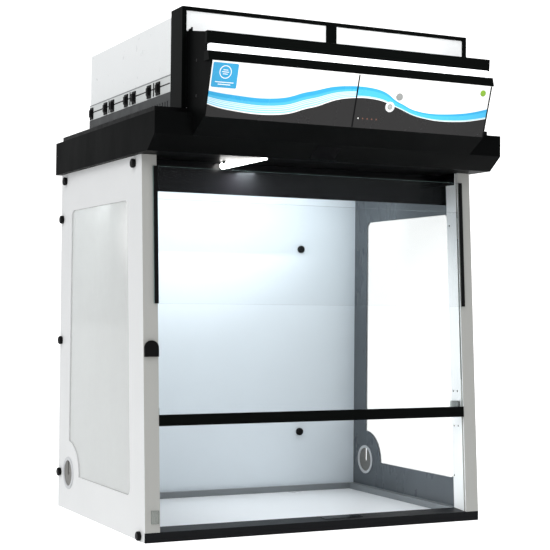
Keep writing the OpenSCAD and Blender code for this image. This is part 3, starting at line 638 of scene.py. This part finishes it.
def knurl(i, a):
    return 1 - (KNURL_DEPTH * (0.5 + 0.5 * math.cos(KNURLS * a)) if 3 <= i <= 5 else 0)


knobs = bmesh.new()
SIDE_KNOBS = [(680, 960), (706, 848), (706, 490.75), (703, 103), (105, 961.5), (35, 14)]
for side in (-1, 1):
    for y, z in SIDE_KNOBS:
        lathe(knobs, KNOB_PROFILE, aim(side * HALF_W, FRONT + y, z, (side, 0, 0)),
              KNOB_STEPS, knurl)
for x in (-292, 292):
    for z in (196, 781):
        lathe(knobs, KNOB_PROFILE, aim(x, FRONT + REAR_PANEL_Y, z, (0, -1, 0)),
              KNOB_STEPS, knurl)
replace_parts(piece("thumb_knobs", knobs, "cabinet", "black_plastic"),
            "panel_knobs")


def screw_profile(r):
    return [(0, 0), (r, 0), (r, 0.35), (r * 0.86, 1.0), (r * 0.62, 1.3), (r * 0.5, 1.3),
            (r * 0.46, 0.5), (0, 0.45)]


def screw_into(bm, r, place):
    """A round head of radius r with a hexagon socket."""
    lathe(bm, screw_profile(r), place, 36, hexed((5, 6)))


POST_SCREWS = ((27.5, 264), (47.5, 264), (27.5, 362), (47.5, 362), (46.5, 835), (54, 124))
CHEEK_SCREWS = ((-92, 129), (-92, 40))
screws = bmesh.new()
for side in (-1, 1):
    for y, z in POST_SCREWS:
        up = (z - SILL_H) / math.cos(LEAN)
        spot = Vector((side * POST_IN, FRONT + y * math.cos(LEAN) + up * math.sin(LEAN),
                       SILL_H + up * math.cos(LEAN) - y * math.sin(LEAN)))
        screw_into(screws, 2.5, aim(*spot, (-side, 0, 0)))
    for y, z in CHEEK_SCREWS:
        screw_into(screws, 4, aim(side * HEAD_HALF, FRONT + y, CANOPY_TOP + z, (side, 0, 0)))
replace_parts(piece("small_screw_heads", screws, "cabinet", "screw_black"),
            "small_screws")

# Screws of the rear cover and of the canopy's rear, which the CAD leaves out
back = bmesh.new()
for x in (-470, -160, 160, 470):
    for z in (40, 500, 950):
        screw_into(back, 4, aim(x, FRONT + REAR_COVER_Y, z, (0, 1, 0)))
SCREW_SINK = 1.31                  # keeps the heads inside the canopy's outline
for x in (-480, -240, 0, 240, 480):
    screw_into(back, 4, aim(x, FRONT + CANOPY_REAR_Y - SCREW_SINK, 1060, (0, 1, 0)))
piece("rear_screw_heads", back, "cabinet", "screw_steel")

# ---------------------------------------------------------------- badge and controls

tile = bmesh.new()
slab(tile, round_rect(-34, -30.5, 34, 30.5, 3.5), -0.6, 1.4, fascia_frame(*BADGE_AT), 0.7)
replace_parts(piece("badge_tile", tile, "cabinet", "badge_blue"), "badge")

mark = bmesh.new()
spot = fascia_frame(*BADGE_AT, 1.3)
ring_band(mark, 14.2, 16.4, 0, 0.5, spot, 0, 8.5)
for k, half in enumerate((6.5, 9.5, 6.5)):
    slab(mark, round_rect(-half, -1, half, 1, 0.9), 0, 0.5,
         spot @ Matrix.Translation((0, (13.5 - 5 * k) * MM, 0)))
for low, half in ((-17, 25), (-22.5, 17)):
    slab(mark, round_rect(-half, low - 1.1, half, low + 1.1, 1), 0, 0.5, spot)
piece("badge_mark", mark, "cabinet", "mark_white")

power = bmesh.new()
spot = fascia_frame(*POWER_AT, 2.5)
ring_band(power, 2.9, 3.7, -0.1, 0.25, spot, steps=30, a0=math.radians(120),
          a1=math.radians(420))
slab(power, round_rect(-0.45, 1.4, 0.45, 4.6, 0.4), -0.1, 0.25, spot)
piece("power_symbol", power, "power_key", "bezel_white")

dish = bmesh.new()
ring_band(dish, 6.2, 7.4, -0.1, 0.3, fascia_frame(*MODE_AT, 2.5))
piece("mode_ring", dish, "mode_key", "button_grey")

lens = bmesh.new()
lathe(lens, [(0, -0.2), (7.6, -0.2), (7.6, 0.1), (6.6, 0.9), (4.4, 1.6), (2, 1.95), (0, 2.05)],
      fascia_frame(*LED_AT, 1.1), 40)
piece("status_dome", lens, "cabinet", "status_green")

# Black beads in the gap between the fascia plates and along the right edge
beads = bmesh.new()
for x, half in ((3, 2.1), (409.4, 1.9)):
    slab(beads, round_rect(x - half, 1, x + half, 136, 0.8, 2), -1.5, 0.35,
         fascia_frame(0, 0), 0.15)
piece("fascia_beads", beads, "cabinet", "black_plastic")

# Flanges that close the gap between the head's cheeks and the surround
flanges = bmesh.new()
for side in (-1, 1):
    x0, x1 = sorted((side * (HEAD_HALF - 3), side * (HEAD_HALF + 5)))
    box_into(flanges, (x0, FRONT - 35, 1094.5), (x1, FRONT - 34.05, 1288))
bevelled(piece("cheek_flanges", flanges, "cabinet", "black_coat", False), 0.25)

# ---------------------------------------------------------------- filter stack

CLIP_HALF = 14
CLIP_PLACES = (0.014, 0.215, 0.309, 0.494, 0.593, 0.78, 0.887)   # from the rear, of the depth
CLIPS = [STACK_BACK - CLIP_HALF - k * (STACK_BACK - STACK_FRONT - 2 * CLIP_HALF)
         for k in CLIP_PLACES]
SEAM_Z = TRAY_TOP + 42 * 0.55 - 1   # between a cassette's two frames
strips = bmesh.new()
for side in (-1, 1):
    for first, second in ((1, 2), (3, 4), (5, 6)):
        y = FRONT + (CLIPS[first] + CLIPS[second]) / 2
        x0, x1 = sorted((side * (STACK_HALF - 0.5), side * (STACK_HALF + 1.6)))
        box_into(strips, (x0, y - 2.2, 1147), (x1, y + 2.2, 1183))
    cuts = [STACK_FRONT + 4] + sorted(CLIPS) + [STACK_BACK - 4]
    x0, x1 = sorted((side * (STACK_HALF - 0.8), side * (STACK_HALF + 0.8)))
    for a, b in zip(cuts, cuts[1:]):
        lo = FRONT + a + (CLIP_HALF if a in CLIPS else 0)
        hi = FRONT + b - (CLIP_HALF if b in CLIPS else 0)
        if hi - lo > 25:
            box_into(strips, (x0, lo, SEAM_Z - 1.2), (x1, hi, SEAM_Z + 1.8))
bevelled(piece("cassette_seals", strips, "cabinet", "black_plastic", False), 0.3)

levers = bmesh.new()
for side in (-1, 1):
    for y in CLIPS:
        x0, x1 = sorted((side * (STACK_HALF + 5), side * (STACK_HALF + 7.6)))
        box_into(levers, (x0, FRONT + y - 7, 1154), (x1, FRONT + y + 7, 1174.5))
        for k in range(4):
            z = 1157 + 4.4 * k
            x2, x3 = sorted((side * (STACK_HALF + 7.4), side * (STACK_HALF + 8.4)))
            box_into(levers, (x2, FRONT + y - 6, z), (x3, FRONT + y + 6, z + 1.8))
bevelled(piece("clip_levers", levers, "cabinet", "black_plastic", False), 0.35)

# Folded hooks on the head's cheeks, against the surround
hooks = bmesh.new()
for side in (-1, 1):
    x0, x1 = sorted((side * (HEAD_HALF - 3.3), side * HEAD_HALF))
    for y0, y1, z0, z1 in ((-58, -50, 1284, 1295), (-46, -36, 1284, 1293)):
        box_into(hooks, (x0, FRONT + y0, z0), (x1, FRONT + y1, z1))
bevelled(piece("cheek_hooks", hooks, "cabinet", "black_coat", False), 0.8)

# Flat dark pad in the middle of the sill's top: painted shade standing in for a finger notch
notch_shade = bmesh.new()
slab(notch_shade, round_rect(-60, -14, 60, 14, 5), -0.6, 0.5, Matrix.Translation(
    (0.08, (FRONT + 34) * MM, 0.02862)) @ Matrix.Rotation(math.radians(4.6), 4, "X"), 0.4)
piece("sill_notch_shade", notch_shade, "cabinet", "sensor_black")

# ---------------------------------------------------------------- stage, lights and camera

s = Shader("studio_floor")
mottle = s.mixed(s.ranged(s.noise(3, 4), 0.3, 0.7), (0.93, 0.93, 0.93, 1), (0.97, 0.97, 0.97, 1))
seen_directly = s.add("LightPath").outputs["Is Camera Ray"]
floor_finish = s.done(s.principled(Base_Color=mottle, Specular_IOR_Level=0.1,
                                   Emission_Color=(1, 1, 1, 1),
                                   Emission_Strength=s.ranged(seen_directly, 0, 1, 0.2, 0.9),
                                   Roughness=s.ranged(s.noise(40, 3), 0.3, 0.7, 0.8, 0.9)))
ground = bmesh.new()
bmesh.ops.create_grid(ground, x_segments=8, y_segments=8, size=40)
mesh = bpy.data.meshes.new("floor")
ground.to_mesh(mesh)
ground.free()
mesh.materials.append(floor_finish)
floor = bpy.data.objects.new("floor", mesh)
floor.location.z = -0.0008
bpy.context.scene.collection.objects.link(floor)

scene = bpy.context.scene
scene.view_settings.view_transform = "Standard"
world = bpy.data.worlds.new("studio")
scene.world = world
world.use_nodes = True
sky = world.node_tree
sky.nodes.clear()
paths = sky.nodes.new("ShaderNodeLightPath")
seen = sky.nodes.new("ShaderNodeBackground")
seen.inputs["Color"].default_value = (1, 1, 1, 1)
seen.inputs["Strength"].default_value = 1.5
felt = sky.nodes.new("ShaderNodeBackground")
felt.inputs["Color"].default_value = (0.97, 0.985, 1, 1)
felt.inputs["Strength"].default_value = 0.52
both = sky.nodes.new("ShaderNodeMixShader")
out = sky.nodes.new("ShaderNodeOutputWorld")
sky.links.new(paths.outputs["Is Camera Ray"], both.inputs[0])
sky.links.new(felt.outputs[0], both.inputs[1])
sky.links.new(seen.outputs[0], both.inputs[2])
sky.links.new(both.outputs[0], out.inputs[0])


def light(name, kind, energy, spot, target, size=1.0, colour=(1, 1, 1), deep=None):
    data = bpy.data.lights.new(name, kind)
    data.energy = energy
    data.color = colour
    if kind == "AREA":
        data.shape = "RECTANGLE"
        data.size = size
        data.size_y = deep or size
    if kind == "SUN":
        data.angle = math.radians(size)
    if kind == "SPOT":
        data.spot_size = math.radians(size)
        data.spot_blend = 0.8
        data.shadow_soft_size = 0.05
    ob = bpy.data.objects.new(name, data)
    ob.location = spot
    ob.rotation_mode = "QUATERNION"
    ob.rotation_quaternion = (Vector(target) - Vector(spot)).to_track_quat("-Z", "Y")
    ob.visible_camera = False
    ob.visible_glossy = False
    scene.collection.objects.link(ob)
    return ob


light("key", "SUN", 1.25, (-5.0, -2.6, 7), (0, 0, 0.6), 40)
light("front_fill", "AREA", 24, (0.6, -4.5, 3.0), (0, 0, 1.1), 2.5)
light("head_fill", "SPOT", 420, (0.5, -4.2, 1.9), (0, -0.35, 1.24), 15)
light("lamp_glow", "AREA", 1.7, (-0.2, -0.2, 0.95), (-0.18, -0.13, 0.2), 0.05,
      (1.0, 0.95, 0.97), 0.12)
light("lamp_rear", "AREA", 0.4, (-0.2, -0.10, 0.90), (-0.2, 0.43, 0.66), 0.3,
      (0.9, 0.96, 1.0), 0.06)
light("top_fill", "AREA", 2.1, (-0.05, 0.06, 0.91), (-0.08, 0.43, 0.86), 0.84,
      (0.93, 0.97, 1.0), 0.05)
light("worktop_fill", "SPOT", 8, (0.18, 0.06, 0.89), (0.14, 0.1, 0), 58, (0.97, 0.985, 1.0))
light("post_fill", "SPOT", 14, (-0.44, -0.02, 0.62), (0.46, -0.16, 0.42), 58, (0.97, 0.985, 1.0))

CAMERA = (-1.73941, -3.52197, 0.59009)
YAW, PITCH, ROLL = (math.radians(a) for a in (26.17, 1.39, 0.52))
look = Vector((math.sin(YAW) * math.cos(PITCH), math.cos(YAW) * math.cos(PITCH), math.sin(PITCH)))
level = Vector((math.cos(YAW), -math.sin(YAW), 0))
above = level.cross(look)
right = level * math.cos(ROLL) + above * math.sin(ROLL)
upward = above * math.cos(ROLL) - level * math.sin(ROLL)
view = bpy.data.cameras.new("view")
view.lens = 90.28
view.sensor_width = 36
view.sensor_fit = "HORIZONTAL"
camera = bpy.data.objects.new("view", view)
camera.matrix_world = Matrix.Translation(CAMERA) @ Matrix(
    (right, upward, -look)).transposed().to_4x4()
scene.collection.objects.link(camera)
scene.camera = camera
